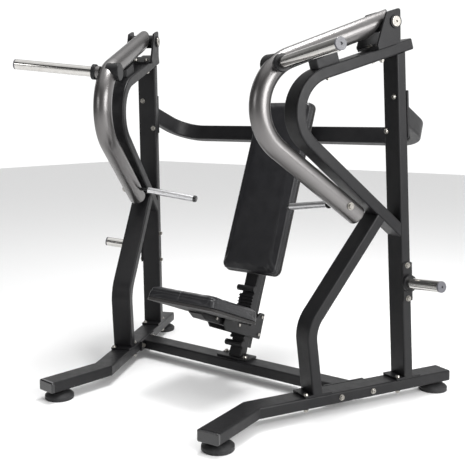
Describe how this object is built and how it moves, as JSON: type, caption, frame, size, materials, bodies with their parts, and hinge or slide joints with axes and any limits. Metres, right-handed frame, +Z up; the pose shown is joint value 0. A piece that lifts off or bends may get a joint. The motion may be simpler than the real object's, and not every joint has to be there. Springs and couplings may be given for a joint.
{
  "type": "chest press machine",
  "caption": "Plate-loaded seated chest press: a leaning pad and sliding seat between toed-in tube frames with swinging arms, handles and weight horns.",
  "frame": {"origin": "on the floor, under the centre of the machine's outline", "axes": "+Z up, -Y towards the front, where the user faces, X across the machine, mirror plane X = 0"},
  "size_m": [2.0482, 1.3607, 1.7558],
  "materials": {
    "frame_black": "satin black powder coat",
    "arm_gunmetal": "gunmetal with a clear coat",
    "chrome": "bright chrome plate",
    "grip_aluminium": "satin anodised",
    "bright_steel": "zinc plated",
    "cap_plastic": "glossy black",
    "cap_grey": "satin grey",
    "rubber": "matt black",
    "pad_leather": "black vinyl with a fine grain",
    "board": "plywood under black backing cloth",
    "bronze": "sintered bronze",
    "nylon": "black nylon"
  },
  "bodies": {
    "frame": {"arm_stops": "rubber", "backrest_board": "board", "backrest_pad": "pad_leather", "base_bolts": "bright_steel", "base_rail_left": "frame_black", "base_rail_right": "frame_black", "cross_member": "frame_black", "crossbar": "frame_black", "foot_studs": "bright_steel", "frame_bolts": "bright_steel", "front_leg_left": "frame_black", "front_leg_right": "frame_black", "levelling_feet": "rubber", "pivot_bracket_left": "frame_black", "pivot_bracket_right": "frame_black", "pivot_caps": "bright_steel", "pivot_pins": "bright_steel", "post_bolts": "bright_steel", "rear_upright_left": "frame_black", "rear_upright_right": "frame_black", "seat_guide": "frame_black", "seat_post": "frame_black", "seat_rack": "frame_black", "storage_caps": "cap_grey", "storage_collars": "frame_black", "storage_plates": "frame_black", "storage_sleeves": "chrome", "tube_end_caps": "cap_plastic", "upper_frame_left": "frame_black", "upper_frame_right": "frame_black"},
    "left_arm": {"arm_tube_left": "arm_gunmetal", "arm_hub_left": "frame_black", "pivot_bushes_left": "bronze", "horn_collar_left": "frame_black", "horn_sleeve_left": "chrome", "horn_cap_left": "cap_grey", "arm_stub_left": "frame_black", "handle_bar_left": "frame_black", "handle_nut_left": "bright_steel", "handle_ring_left": "frame_black", "handle_grip_left": "grip_aluminium", "handle_plug_left": "cap_plastic"},
    "right_arm": {"arm_tube_right": "arm_gunmetal", "arm_hub_right": "frame_black", "pivot_bushes_right": "bronze", "horn_collar_right": "frame_black", "horn_sleeve_right": "chrome", "horn_cap_right": "cap_grey", "arm_stub_right": "frame_black", "handle_bar_right": "frame_black", "handle_nut_right": "bright_steel", "handle_ring_right": "frame_black", "handle_grip_right": "grip_aluminium", "handle_plug_right": "cap_plastic"},
    "seat": {"seat_pad": "pad_leather", "seat_board": "board", "seat_carriage": "frame_black", "carriage_rollers": "nylon", "carriage_pins": "bright_steel", "seat_latch": "frame_black"}
  },
  "joints": [
    {"name": "left_press", "type": "hinge", "parent": "frame", "child": "left_arm", "pos_m": [-0.7177, 0.25389, 1.69642], "axis": [-0.9071, -0.4209, 0], "range_deg": [0, 50]},
    {"name": "right_press", "type": "hinge", "parent": "frame", "child": "right_arm", "pos_m": [0.7177, 0.25389, 1.69642], "axis": [-0.9071, 0.4209, 0], "range_deg": [0, 50]},
    {"name": "seat_height", "type": "slide", "parent": "frame", "child": "seat", "axis": [0, 0.3665, 0.9304], "range_m": [-0.0315, 0.1635]}
  ]
}
